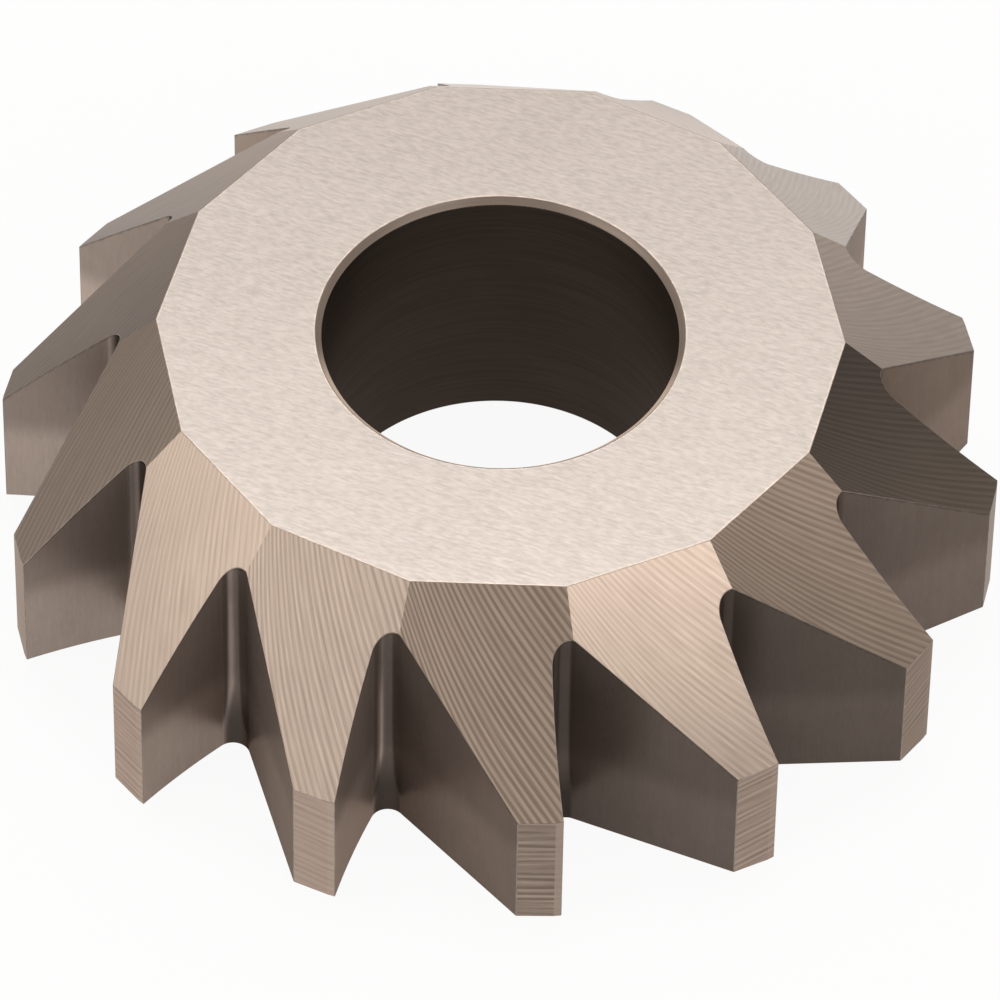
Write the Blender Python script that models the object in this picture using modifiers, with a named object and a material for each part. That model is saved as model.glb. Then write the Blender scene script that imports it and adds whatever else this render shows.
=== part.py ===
"""A headset reamer: a ring cutter ground from one piece of tool steel.

The back face lies on z = 0 and the bore runs along +Z, out through the small front face.
The front face is a regular polygon with one side for each tooth. A flat facet slopes from
each side out to the tooth's tip land, and V-shaped gullets with round roots run straight
through from front to back. The teeth cut counterclockwise, seen from the front.

Lengths are metres and angles are radians. The flat of the first facet looks along -Y.
"""

import math

import bmesh
import bpy
from mathutils import Matrix, Vector

# Driving dimensions: the whole ring
CUT_DIAMETER = 0.0411  # across the leading corners of opposite teeth
HEIGHT = 0.0125  # back face to front face
TOOTH_COUNT = 14

# Driving dimensions: the seat facets
FRONT_ACROSS_FLATS = 0.0273  # the front polygon, side to opposite side
SEAT_ANGLE = math.radians(45.0)  # between a facet and the axis

# Driving dimensions: the bore
BORE_DIAMETER = 0.0145
RIM_CHAMFER = 0.00027  # leg of the 45 degree chamfer on both rims of the bore

# Driving dimensions: the tip land, which follows its leading corner
LEAD_ANGLE = math.radians(9.3)  # leading corner ahead of the middle of its facet
LAND_WIDTH = 0.00184  # leading corner to trailing corner
MARGIN_WIDTH = 0.00032  # the strip behind the leading corner that is left cylindrical
LAND_RELIEF = 0.00011  # drop of the trailing corner below the cut circle

# Driving dimensions: the gullet
RAKE_ANGLE = math.radians(3.2)  # hook of the rake face at the leading corner
RAKE_HOLLOW_RADIUS = 0.033  # the rake face is ground slightly hollow
BACK_ANGLE = math.radians(39.2)  # tooth back against the radius at the trailing corner
ROOT_RADIUS = 0.0007

# How finely round stretches are divided
RAKE_STEPS = 7
ROOT_STEPS = 14
MARGIN_STEPS = 2
BORE_STEPS = 112
SHARP_EDGE_ANGLE = math.radians(12.0)

CUTTER_OVERRUN = 0.001  # how far a cutter reaches past what it cuts
WELD_DISTANCE = 1e-7
FIRST_FACET_AZIMUTH = math.radians(-90.0)

CUT_RADIUS = CUT_DIAMETER / 2
PITCH_ANGLE = 2 * math.pi / TOOTH_COUNT
TRAIL_ANGLE = LEAD_ANGLE - LAND_WIDTH / CUT_RADIUS
MARGIN_END_ANGLE = LEAD_ANGLE - MARGIN_WIDTH / CUT_RADIUS


def clear_scene():
    """Remove the objects that a new Blender file starts with."""
    for obj in list(bpy.data.objects):
        bpy.data.objects.remove(obj)


def new_collection(name):
    collection = bpy.data.collections.new(name)
    bpy.context.scene.collection.children.link(collection)
    return collection


def polar(radius, angle):
    return Vector((radius * math.cos(angle), radius * math.sin(angle)))


def arc(centre, start, end, steps):
    """Points of the shorter arc round a centre, from start to end, both included."""
    first = start - centre
    turn = math.atan2(first.cross(end - centre), first.dot(end - centre))
    return [centre + Matrix.Rotation(turn * i / steps, 2) @ first for i in range(steps + 1)]


def gullet_arcs():
    """The rake face and the root of one gullet, in plan.

    The plan's +X axis goes through the middle of the facet of the tooth whose rake face
    this is. The root's circle touches the hollow rake face of that tooth and the straight
    back of the next one.
    """
    lead = polar(CUT_RADIUS, LEAD_ANGLE)
    inward_left = polar(1.0, LEAD_ANGLE + RAKE_ANGLE + math.pi / 2)
    rake_centre = lead + RAKE_HOLLOW_RADIUS * inward_left

    next_trail_angle = TRAIL_ANGLE + PITCH_ANGLE
    next_trail = polar(CUT_RADIUS - LAND_RELIEF, next_trail_angle)
    outward = polar(1.0, next_trail_angle + BACK_ANGLE)
    into_gullet = polar(1.0, next_trail_angle + BACK_ANGLE - math.pi / 2)

    reach = RAKE_HOLLOW_RADIUS - ROOT_RADIUS
    offset = next_trail + ROOT_RADIUS * into_gullet - rake_centre
    along = offset.dot(outward)
    travel = -along - math.sqrt(along**2 - offset.length_squared + reach**2)
    root_centre = rake_centre + offset + travel * outward

    rake_end = rake_centre + (root_centre - rake_centre) * (RAKE_HOLLOW_RADIUS / reach)
    back_start = root_centre - ROOT_RADIUS * into_gullet
    rake = arc(rake_centre, lead, rake_end, RAKE_STEPS)
    root = arc(root_centre, rake_end, back_start, ROOT_STEPS)
    return rake + root[1:]


def tooth_points():
    """One tooth and the gullet after it, from its trailing corner counterclockwise."""
    axis = Vector((0.0, 0.0))
    trail = polar(CUT_RADIUS - LAND_RELIEF, TRAIL_ANGLE)
    margin_end = polar(CUT_RADIUS, MARGIN_END_ANGLE)
    lead = polar(CUT_RADIUS, LEAD_ANGLE)
    margin = arc(axis, margin_end, lead, MARGIN_STEPS)
    return [trail] + margin[:-1] + gullet_arcs()


def plan_outline():
    """The whole toothed outline, counterclockwise."""
    one_tooth = tooth_points()
    points = []
    for tooth in range(TOOTH_COUNT):
        turn = Matrix.Rotation(FIRST_FACET_AZIMUTH + tooth * PITCH_ANGLE, 2)
        points += [turn @ point for point in one_tooth]
    return points


def toothed_blank(collection):
    """The outline drawn as a filled 2D curve, extruded to the ring's height."""
    curve = bpy.data.curves.new("toothed_outline", "CURVE")
    curve.dimensions = "2D"
    curve.fill_mode = "BOTH"
    curve.extrude = HEIGHT / 2
    points = plan_outline()
    spline = curve.splines.new("POLY")
    spline.points.add(len(points) - 1)
    for slot, point in zip(spline.points, points):
        slot.co = (point.x, point.y, 0.0, 1.0)
    spline.use_cyclic_u = True

    drawn = bpy.data.objects.new("toothed_outline", curve)
    drawn.location.z = HEIGHT / 2
    collection.objects.link(drawn)
    bpy.context.view_layer.update()
    graph = bpy.context.evaluated_depsgraph_get()
    mesh = bpy.data.meshes.new_from_object(drawn.evaluated_get(graph))
    mesh.name = "reamer_cutter"
    weld(mesh)
    blank = bpy.data.objects.new("reamer_cutter", mesh)
    blank.matrix_world = drawn.matrix_world
    collection.objects.link(blank)
    bpy.data.objects.remove(drawn)
    return blank


def weld(mesh):
    """Join the caps of a curve's mesh to its sides."""
    work = bmesh.new()
    work.from_mesh(mesh)
    bmesh.ops.remove_doubles(work, verts=work.verts, dist=WELD_DISTANCE)
    work.to_mesh(mesh)
    work.free()


def seat_radius(height):
    """Distance from the axis to a facet's plane, at one height."""
    return FRONT_ACROSS_FLATS / 2 + (HEIGHT - height) * math.tan(SEAT_ANGLE)


def seat_form(collection):
    """The many-sided cone that the facets are flats of. What lies outside it is ground away."""
    low = -CUTTER_OVERRUN
    high = HEIGHT + CUTTER_OVERRUN
    corner = 1 / math.cos(PITCH_ANGLE / 2)
    bpy.ops.mesh.primitive_cone_add(
        vertices=TOOTH_COUNT,
        radius1=seat_radius(low) * corner,
        radius2=seat_radius(high) * corner,
        depth=high - low,
        location=(0.0, 0.0, (low + high) / 2),
    )
    form = bpy.context.object
    form.name = "seat_form"
    # The primitive has its first corner on +Y, half a pitch away from the middle of a side.
    first_middle = math.pi / 2 + PITCH_ANGLE / 2
    form.rotation_euler.z = FIRST_FACET_AZIMUTH - first_middle
    return as_cutter(form, collection)


def bore_form(collection):
    """The bore with the chamfers of both rims, turned from half its section."""
    radius = BORE_DIAMETER / 2
    wide = radius + RIM_CHAMFER + CUTTER_OVERRUN
    section = (
        (0.0, HEIGHT + CUTTER_OVERRUN),
        (wide, HEIGHT + CUTTER_OVERRUN),
        (radius, HEIGHT - RIM_CHAMFER),
        (radius, RIM_CHAMFER),
        (wide, -CUTTER_OVERRUN),
        (0.0, -CUTTER_OVERRUN),
    )
    mesh = bpy.data.meshes.new("bore_form")
    edges = [(i, i + 1) for i in range(len(section) - 1)]
    mesh.from_pydata([(x, 0.0, z) for x, z in section], edges, [])
    form = bpy.data.objects.new("bore_form", mesh)
    turn = form.modifiers.new("turned", "SCREW")
    turn.steps = BORE_STEPS
    turn.render_steps = BORE_STEPS
    turn.use_merge_vertices = True
    turn.merge_threshold = WELD_DISTANCE
    collection.objects.link(form)
    return as_cutter(form, collection)


def as_cutter(obj, collection):
    """Keep a shape that only cuts out of the render, as a wire in the cutters' collection."""
    for owner in list(obj.users_collection):
        owner.objects.unlink(obj)
    collection.objects.link(obj)
    obj.hide_render = True
    obj.display_type = "WIRE"
    return obj


def cut(target, tool, operation):
    step = target.modifiers.new(tool.name, "BOOLEAN")
    step.operation = operation
    step.solver = "EXACT"
    step.object = tool


def ground_steel():
    """Bare ground high-speed steel, warm grey."""
    material = bpy.data.materials.new("ground_steel")
    material.use_nodes = True
    shader = material.node_tree.nodes["Principled BSDF"]
    shader.inputs["Base Color"].default_value = (0.56, 0.51, 0.46, 1.0)
    shader.inputs["Metallic"].default_value = 1.0
    shader.inputs["Roughness"].default_value = 0.34
    return material


def finish_mesh(obj):
    """Apply the cuts, then shade the round walls smooth and keep the ground edges crisp."""
    bpy.context.view_layer.update()
    graph = bpy.context.evaluated_depsgraph_get()
    mesh = bpy.data.meshes.new_from_object(obj.evaluated_get(graph))
    mesh.name = obj.name
    obj.modifiers.clear()
    obj.data = mesh
    mesh.shade_smooth()
    mesh.set_sharp_from_angle(angle=SHARP_EDGE_ANGLE)
    mesh.materials.clear()
    mesh.materials.append(ground_steel())


def main():
    clear_scene()
    parts = new_collection("headset_reamer")
    cutters = new_collection("cutters")
    reamer = toothed_blank(parts)
    cut(reamer, seat_form(cutters), "INTERSECT")
    cut(reamer, bore_form(cutters), "DIFFERENCE")
    finish_mesh(reamer)


main()
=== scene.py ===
"""Headset reamer: a ring cutter ground from one piece of tool steel, on a pale floor.

The ring is one solid piece. Its mesh is drawn here finer than the solid, with softly broken
edges, and each kind of surface has a finish of its own: the facets with their curved grinding
lines, the tip lands, the gullets, the bore and its rims, and the two flat faces.

Lengths are metres and angles are radians, except where a finish says millimetres. The first
facet looks along -Y, and the teeth cut counterclockwise, seen from the front.
"""

import logging
import math
from dataclasses import dataclass, field
from enum import Enum

import bmesh
import bpy
from mathutils import Euler, Matrix, Vector


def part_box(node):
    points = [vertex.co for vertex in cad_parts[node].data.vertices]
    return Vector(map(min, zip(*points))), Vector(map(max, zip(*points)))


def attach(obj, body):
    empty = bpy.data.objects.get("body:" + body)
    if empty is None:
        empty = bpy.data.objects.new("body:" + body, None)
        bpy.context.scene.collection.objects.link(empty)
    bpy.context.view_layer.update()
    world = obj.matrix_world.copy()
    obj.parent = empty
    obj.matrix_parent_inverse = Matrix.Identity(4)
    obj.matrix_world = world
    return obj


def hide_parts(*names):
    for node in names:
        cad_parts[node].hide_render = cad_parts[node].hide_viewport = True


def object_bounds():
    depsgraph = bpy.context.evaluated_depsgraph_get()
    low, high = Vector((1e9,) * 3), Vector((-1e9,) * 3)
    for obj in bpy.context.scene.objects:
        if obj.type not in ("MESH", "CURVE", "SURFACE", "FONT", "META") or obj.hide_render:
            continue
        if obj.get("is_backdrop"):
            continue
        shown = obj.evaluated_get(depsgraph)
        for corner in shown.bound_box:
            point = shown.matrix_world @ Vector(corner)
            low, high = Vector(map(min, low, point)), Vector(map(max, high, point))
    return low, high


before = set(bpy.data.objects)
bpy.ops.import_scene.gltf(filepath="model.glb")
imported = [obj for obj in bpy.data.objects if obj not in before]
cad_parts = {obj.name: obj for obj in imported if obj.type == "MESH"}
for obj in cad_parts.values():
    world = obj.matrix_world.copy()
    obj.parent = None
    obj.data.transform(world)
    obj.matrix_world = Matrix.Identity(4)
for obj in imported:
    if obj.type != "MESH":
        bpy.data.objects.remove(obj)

LOG = logging.getLogger("headset_reamer")

NODE = "reamer_cutter"

MILLIMETRE = 0.001
TEETH = 14
FRONT_ACROSS_FLATS = 0.0273
BORE_DIAMETER = 0.0145
RIM_CHAMFER = 0.00027
LAND_WIDTH = 0.00184
MARGIN_WIDTH = 0.00032

FINISH_MAP = "finish_map"
# Painted light and shade, a painted tint and a painted root highlight are written on each corner as
# face_tone, face_warmth and root_gleam.
FACE_TONE = "face_tone"
MARK_DEPTH = "mark_depth"
FACE_WARMTH = "face_warmth"
WALL_LEAN = "wall_lean"
ROOT_GLEAM = "root_gleam"

Colour = tuple[float, float, float]
Pair = tuple[float, float]
Box = tuple[Vector, Vector]
Socket = bpy.types.NodeSocket


class Surface(Enum):
    """The kinds of surface on the ring. A value is the index of the surface's material."""

    FRONT = 0
    FACET = 1
    LAND = 2
    WALL = 3
    BORE = 4
    CHAMFER = 5
    BACK = 6
    EDGE = 7


class Boolean(Enum):
    """How a form cuts the blank."""

    KEEP_INSIDE = "INTERSECT"
    TAKE_AWAY = "DIFFERENCE"


# Meshes


@dataclass(frozen=True)
class ToothForm:
    """One tooth and the gullet ahead of it, in plan.

    The plan's +X axis goes through the middle of the tooth's facet.

    Attributes:
        cut_radius: From the axis to the cutting edges.
        count: How many teeth the ring has.
        lead_angle: From the middle of the facet round to the cutting edge.
        land_width: Width of the tip land, round the ring.
        margin_width: Width of its margin, which stays at the full radius.
        land_relief: How far the land drops away behind the margin.
        rake_angle: Lean of the rake face at the cutting edge.
        rake_hollow_radius: Radius of the hollow in the rake face.
        back_angle: Lean of the straight back from the land's trailing corner.
        root_radius: Radius of the gullet's root.
        rake_steps: Chords that the rake face is drawn with.
        root_steps: Chords that the root is drawn with.
        margin_steps: Chords that the margin is drawn with.
    """

    cut_radius: float
    count: int = TEETH
    lead_angle: float = math.radians(9.3)
    land_width: float = LAND_WIDTH
    margin_width: float = MARGIN_WIDTH
    land_relief: float = 0.00011
    rake_angle: float = math.radians(3.2)
    rake_hollow_radius: float = 0.033
    back_angle: float = math.radians(39.2)
    root_radius: float = 0.0007
    rake_steps: int = 20
    root_steps: int = 26
    margin_steps: int = 2

    @property
    def pitch(self) -> float:
        """The angle from one tooth to the next."""
        return 2 * math.pi / self.count

    @property
    def trail_angle(self) -> float:
        """Where the tip land ends behind its leading corner."""
        return self.lead_angle - self.land_width / self.cut_radius

    @property
    def gullet_angle(self) -> float:
        """The middle of the gullet's mouth."""
        return (self.lead_angle + self.trail_angle + self.pitch) / 2

    @property
    def trail_corner(self) -> Vector:
        """The trailing corner of the tip land."""
        return polar(self.cut_radius - self.land_relief, self.trail_angle)

    def gullet(self) -> list[Vector]:
        """Draw the hollow rake face, then the round root up to the next tooth's straight back.

        Returns:
            The points in plan, from the leading corner to where the next back begins.
        """
        lead = polar(self.cut_radius, self.lead_angle)
        rake_centre = lead + self.rake_hollow_radius * polar(
            1.0, self.lead_angle + self.rake_angle + math.pi / 2
        )
        next_trail_angle = self.trail_angle + self.pitch
        next_trail = polar(self.cut_radius - self.land_relief, next_trail_angle)
        outward = polar(1.0, next_trail_angle + self.back_angle)
        into_gullet = polar(1.0, next_trail_angle + self.back_angle - math.pi / 2)

        reach = self.rake_hollow_radius - self.root_radius
        offset = next_trail + self.root_radius * into_gullet - rake_centre
        along = offset.dot(outward)
        travel = -along - math.sqrt(along**2 - offset.length_squared + reach**2)
        root_centre = rake_centre + offset + travel * outward
        rake_end = rake_centre + (root_centre - rake_centre) * (self.rake_hollow_radius / reach)
        back_start = root_centre - self.root_radius * into_gullet
        rake = arc(rake_centre, lead, rake_end, self.rake_steps)
        root = arc(root_centre, rake_end, back_start, self.root_steps)
        return rake + root[1:]

    def points(self) -> list[Vector]:
        """Draw the tooth and its gullet, from the trailing corner counterclockwise.

        Returns:
            The points in plan.
        """
        margin_end = polar(self.cut_radius, self.lead_angle - self.margin_width / self.cut_radius)
        lead = polar(self.cut_radius, self.lead_angle)
        margin = arc(Vector((0.0, 0.0)), margin_end, lead, self.margin_steps)
        return [self.trail_corner] + margin[:-1] + self.gullet()


@dataclass(frozen=True)
class ToothGrind:
    """How one tooth came off the wheel, and the light and shade painted on it.

    Attributes:
        facet: Brightness of its facet against the others, a painted reflection.
        fade: How much brighter the facet gets with each millimetre down the slope, as painted
            shading.
        drift: How much brighter it gets with each millimetre counterclockwise, as painted shading.
        lines: Depth of the lines on its facet against the others.
        land: Brightness of its tip land against the others, a painted reflection.
        bands: Depth of the bands on its tip land against the others.
        slant: Rise of those bands for each unit of their length.
        rake: Brightness of its rake face against the others, painted light and shade.
        back: Brightness of the tooth back across the gullet, on the same scale, painted light and
            shade.
        gleam: Brightness of the highlight painted along the gullet's root.
        warmth: How far its facet's colour leans from blue to red, a painted tint of what it
            reflects.
    """

    facet: float = 1.0
    fade: float = 0.0
    drift: float = 0.0
    lines: float = 0.5
    land: float = 1.0
    bands: float = 0.3
    slant: float = 0.1
    rake: float = 1.0
    back: float = 0.46
    gleam: float = 0.4
    warmth: float = 0.0


# Brightness and warmth in this table are painted light, shade and reflection; lines, bands and
# slant are marks.
TOOTH_GRINDS: tuple[ToothGrind, ...] = (
    ToothGrind(1.12, 0.005, -0.019, 1.2, 0.82, 0.85, 0.0, back=0.51, gleam=0.28),
    ToothGrind(1.01, -0.068, 0.018, 0.36, 1.03, 0.6, 0.2, back=0.44, gleam=0.5),
    ToothGrind(0.98, -0.036, 0.05, 0.7, 0.8, 0.55, 0.3, back=0.66, gleam=0.2),
    ToothGrind(0.31, 0.055, -0.035, 0.46, 0.8, 0.3, 0.1, back=1.0, gleam=0.2),
    ToothGrind(0.72, -0.016, 0.028, 0.23, 1.0, 0.5, 0.0, back=1.5),
    ToothGrind(1.13, -0.003, 0.009, 0.19, 1.0, 0.3, 0.2, warmth=-0.06),
    ToothGrind(1.36, -0.008, -0.01, 0.4, 1.0, 0.6, 0.1, warmth=-0.02),
    ToothGrind(1.66, 0.0, 0.0, 0.6, 1.0, 0.4, 0.0, rake=2.2, gleam=0.0, warmth=-0.06),
    ToothGrind(1.08, 0.0, -0.02, 0.53, 1.0, 0.7, 0.2, rake=1.9, gleam=0.0),
    ToothGrind(0.51, -0.01, -0.06, 0.8, 1.0, 0.3, 0.1, rake=1.64, gleam=0.0, warmth=0.11),
    ToothGrind(0.385, 0.013, -0.04, 0.5, 1.0, 0.4, 0.0, rake=1.32, gleam=0.0, warmth=0.07),
    ToothGrind(0.74, -0.01, 0.018, 0.44, 0.95, 0.3, 0.2, rake=1.18, gleam=0.5),
    ToothGrind(1.1, -0.024, 0.012, 0.27, 1.26, 0.42, 0.0, rake=1.1, back=0.82, gleam=0.62),
    ToothGrind(0.91, -0.004, -0.006, 0.54, 1.26, 0.29, -0.1, rake=1.18, back=0.67, gleam=1.35),
)


@dataclass(frozen=True)
class EdgePaintedShading:
    """The light and shade painted on a broken edge, by how it lies.

    Attributes:
        plain: Brightness of most edges.
        shady: What an edge between a facet and a tooth back loses.
        level: What an edge beside a flat face gains.
        upright: What an upright edge loses.
        far: Share that the far side of the ring loses as painted shade, except beside a flat face.
        back_span: Lean over which an edge counts as a tooth back's.
        upright_span: Rise over which an edge stops being upright.
        slope_span: Rise over which an edge counts as sloping.
        level_span: Rise over which an edge counts as beside a flat face.
        far_span: Where the far side begins, as the cosine of its angle from the far point.
    """

    plain: float = 1.1
    shady: float = 0.6
    level: float = 0.6
    upright: float = 0.3
    far: float = 0.45
    back_span: Pair = (math.radians(10.0), math.radians(16.0))
    upright_span: Pair = (0.0, 0.15)
    slope_span: Pair = (0.05, 0.15)
    level_span: Pair = (0.68, 0.82)
    far_span: Pair = (-0.5, 0.1)

    def tone(self, farness: float, lean: float, rise: float) -> float:
        """Painted brightness of an edge.

        Args:
            farness: Cosine of its angle from the ring's far point.
            lean: Its turn away from facing straight out, counterclockwise.
            rise: How far it looks up, from 0 to 1.

        Returns:
            The painted brightness, against the finish's own colour.
        """
        level = smooth(rise, *self.level_span)
        sloping = smooth(rise, *self.slope_span) * (1 - level)
        shady = smooth(-lean, *self.back_span) * sloping
        upright = 1 - smooth(rise, *self.upright_span)
        far = smooth(farness, *self.far_span) * (1 - level)
        near_tone = self.plain - self.shady * shady + self.level * level - self.upright * upright
        return near_tone * (1 - self.far * far)


@dataclass
class CutterRing:
    """The whole cutter: one ring with facets, tip lands, gullets and a chamfered bore.

    Attributes:
        tooth: The form of its teeth.
        low: Height of the back face.
        high: Height of the front face.
        front_across_flats: Side to opposite side of the front face's polygon.
        seat_angle: Angle of the facets to the axis.
        bore_diameter: Diameter of the bore.
        rim_chamfer: Width of the chamfers at the bore's rims.
        bore_reach: From the axis to just past the chamfers.
        bore_steps: Chords that the bore is drawn with.
        edge_break: How far a broken edge reaches to each side.
        edge_steps: Strips that a broken edge is drawn with.
        edge_angle: Turn between two faces from which their edge is broken.
        overrun: How far the cutting forms go past the blank.
        weld_distance: Points that are closer than this are made one.
        flat_rise: Rise, up or down, over which a face counts as flat.
        slope_rise: Rise over which a face counts as sloping.
        root_span: Lean over which a gullet's painted tone goes from the back's to the rake face's.
        facet_middle: From a facet's upper edge down the slope to its middle.
        near_rim_tone: What the near side of a rim gains, as a painted highlight.
        near_rim_span: Where that painted highlight begins, as the cosine of its angle from the near
            point.
        edges: The light and shade painted on the broken edges.
        first_azimuth: Where the first facet looks, from +X.
        grinds: How each tooth was ground and the light and shade painted on it, counterclockwise.
        piece: The finished object, once it is built.
    """

    tooth: ToothForm
    low: float
    high: float
    front_across_flats: float = FRONT_ACROSS_FLATS
    seat_angle: float = math.radians(45.0)
    bore_diameter: float = BORE_DIAMETER
    rim_chamfer: float = RIM_CHAMFER
    bore_reach: float = BORE_DIAMETER / 2 + 1.5 * RIM_CHAMFER
    bore_steps: int = 224
    edge_break: float = 0.000025
    edge_steps: int = 2
    edge_angle: float = math.radians(25.0)
    overrun: float = 0.001
    weld_distance: float = 0.0000001
    flat_rise: float = 0.99
    slope_rise: float = 0.1
    root_span: Pair = (math.radians(45.0), math.radians(80.0))
    facet_middle: float = 0.004
    near_rim_tone: float = 2.4
    near_rim_span: Pair = (0.1, 0.5)
    edges: EdgePaintedShading = EdgePaintedShading()
    first_azimuth: float = math.radians(-90.0)
    grinds: tuple[ToothGrind, ...] = TOOTH_GRINDS
    piece: bpy.types.Object | None = field(default=None, init=False)

    @classmethod
    def from_solid(cls, box: Box, solid: bpy.types.Object) -> "CutterRing":
        """Take the ring's height and cutting radius from the solid that it stands for."""
        radius = max(math.hypot(v.co.x, v.co.y) for v in solid.data.vertices)
        return cls(ToothForm(cut_radius=radius), low=box[0].z, high=box[1].z)

    def build(self) -> bpy.types.Object:
        """Make the ring's mesh with its edges broken and every surface laid out.

        Returns:
            The finished object, without materials.
        """
        blank = self._blank()
        self._cut(blank, self._seat_form(), Boolean.KEEP_INSIDE)
        self._cut(blank, self._bore_form(), Boolean.TAKE_AWAY)
        mesh = evaluated_mesh(blank, "cutter_ring")
        bpy.data.objects.remove(blank)
        self._name_surfaces(mesh)

        ring = scene_object("cutter_ring", mesh)
        self._break_edges(ring)
        final = evaluated_mesh(ring, "cutter_ring")
        ring.modifiers.clear()
        ring.data = final
        self._give_back_edges(final)
        self._shade(final)
        self._lay_out(final)
        self.piece = ring
        return ring

    def dress(self, materials: dict[Surface, bpy.types.Material]) -> None:
        """Give each kind of surface its material."""
        for surface in Surface:
            self.piece.data.materials[surface.value] = materials[surface]

    def _blank(self) -> bpy.types.Object:
        """Extrude the toothed outline to the ring's height.

        Returns:
            The blank's object.
        """
        work = bmesh.new()
        rim = []
        for index in range(self.tooth.count):
            turn = Matrix.Rotation(self.first_azimuth + index * self.tooth.pitch, 2)
            for point in self.tooth.points():
                place = turn @ point
                rim.append(work.verts.new((place.x, place.y, self.low)))
        floor = work.faces.new(rim)
        raised = bmesh.ops.extrude_face_region(work, geom=[floor])
        lifted = [v for v in raised["geom"] if isinstance(v, bmesh.types.BMVert)]
        bmesh.ops.translate(work, verts=lifted, vec=(0.0, 0.0, self.high - self.low))
        bmesh.ops.recalc_face_normals(work, faces=work.faces)
        return meshed_object("toothed_blank", work)

    def _seat_form(self) -> bpy.types.Object:
        """Make the many-sided cone that the facets are flats of.

        Returns:
            The cone's object.
        """
        low = self.low - self.overrun
        high = self.high + self.overrun
        corner = 1 / math.cos(self.tooth.pitch / 2)
        work = bmesh.new()
        turn = self.first_azimuth - math.pi / 2 - self.tooth.pitch / 2
        bmesh.ops.create_cone(
            work,
            cap_ends=True,
            segments=self.tooth.count,
            radius1=self._seat_radius(low) * corner,
            radius2=self._seat_radius(high) * corner,
            depth=high - low,
            matrix=Matrix.Translation((0.0, 0.0, (low + high) / 2)) @ Matrix.Rotation(turn, 4, "Z"),
        )
        return meshed_object("seat_form", work)

    def _bore_form(self) -> bpy.types.Object:
        """Turn the bore with the chamfers of both rims.

        Returns:
            The object that the bore is cut with.
        """
        radius = self.bore_diameter / 2
        wide = radius + self.rim_chamfer + self.overrun
        section = (
            (0.0, self.low - self.overrun),
            (wide, self.low - self.overrun),
            (radius, self.low + self.rim_chamfer),
            (radius, self.high - self.rim_chamfer),
            (wide, self.high + self.overrun),
            (0.0, self.high + self.overrun),
        )
        work = bmesh.new()
        corners = [work.verts.new((x, 0.0, z)) for x, z in section]
        line = [work.edges.new(pair) for pair in zip(corners, corners[1:])]
        bmesh.ops.spin(
            work,
            geom=corners + line,
            cent=(0.0, 0.0, 0.0),
            axis=(0.0, 0.0, 1.0),
            angle=2 * math.pi,
            steps=self.bore_steps,
        )
        bmesh.ops.remove_doubles(work, verts=work.verts, dist=self.weld_distance)
        bmesh.ops.recalc_face_normals(work, faces=work.faces)
        return meshed_object("bore_form", work)

    def _seat_radius(self, height: float) -> float:
        """Distance from the axis to a facet's plane, at one height."""
        return self.front_across_flats / 2 + (self.high - height) * math.tan(self.seat_angle)

    def _cut(self, target: bpy.types.Object, form: bpy.types.Object, how: Boolean) -> None:
        """Cut the target with a form, and remove the form.

        Args:
            target: The object that is cut. Its mesh is replaced.
            form: The object that cuts.
            how: Whether the inside of the form is kept or taken away.
        """
        step = target.modifiers.new(form.name, "BOOLEAN")
        step.operation = how.value
        step.solver = "EXACT"
        step.object = form
        mesh = evaluated_mesh(target, target.name)
        target.modifiers.clear()
        target.data = mesh
        bpy.data.objects.remove(form)

    def _surface_of(self, normal: Vector, centre: Vector) -> Surface:
        """Tell which kind of surface a face belongs to.

        Args:
            normal: The face's normal.
            centre: The middle of the face.

        Returns:
            The kind of surface.
        """
        radius = math.hypot(centre.x, centre.y)
        near_bore = radius < self.bore_reach
        if normal.z > self.flat_rise:
            return Surface.FRONT
        if normal.z < -self.flat_rise:
            return Surface.BACK
        if abs(normal.z) > self.slope_rise:
            return Surface.CHAMFER if near_bore else Surface.FACET
        if near_bore:
            return Surface.BORE
        on_land = radius > self.tooth.cut_radius - 2 * self.tooth.land_relief
        faces_out = abs(centre.xy.angle_signed(normal.xy)) < self.edge_angle
        return Surface.LAND if on_land and faces_out else Surface.WALL

    def _name_surfaces(self, mesh: bpy.types.Mesh) -> None:
        """Write the kind of surface of each face as its material's index.

        Args:
            mesh: The ring's mesh, before its edges are broken.
        """
        mesh.materials.clear()
        for surface in Surface:
            mesh.materials.append(None)
        for face in mesh.polygons:
            face.material_index = self._surface_of(face.normal, face.center).value
            face.use_smooth = True

    def _break_edges(self, ring: bpy.types.Object) -> None:
        """Round every ground edge a little, as a stone leaves it.

        Args:
            ring: The ring's object, which gets the modifier.
        """
        bevel = ring.modifiers.new("broken_edges", "BEVEL")
        bevel.width = self.edge_break
        bevel.segments = self.edge_steps
        bevel.limit_method = "ANGLE"
        bevel.angle_limit = self.edge_angle
        bevel.use_clamp_overlap = False
        bevel.miter_outer = "MITER_SHARP"
        bevel.material = Surface.EDGE.value

    def _give_back_edges(self, mesh: bpy.types.Mesh) -> None:
        """Give the broken edges that lie on the floor to the back face.

        Args:
            mesh: The ring's final mesh.
        """
        for face in mesh.polygons:
            on_floor = face.center.z < self.low + 2 * self.edge_break
            if on_floor and face.material_index == Surface.EDGE.value:
                face.material_index = Surface.BACK.value

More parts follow.
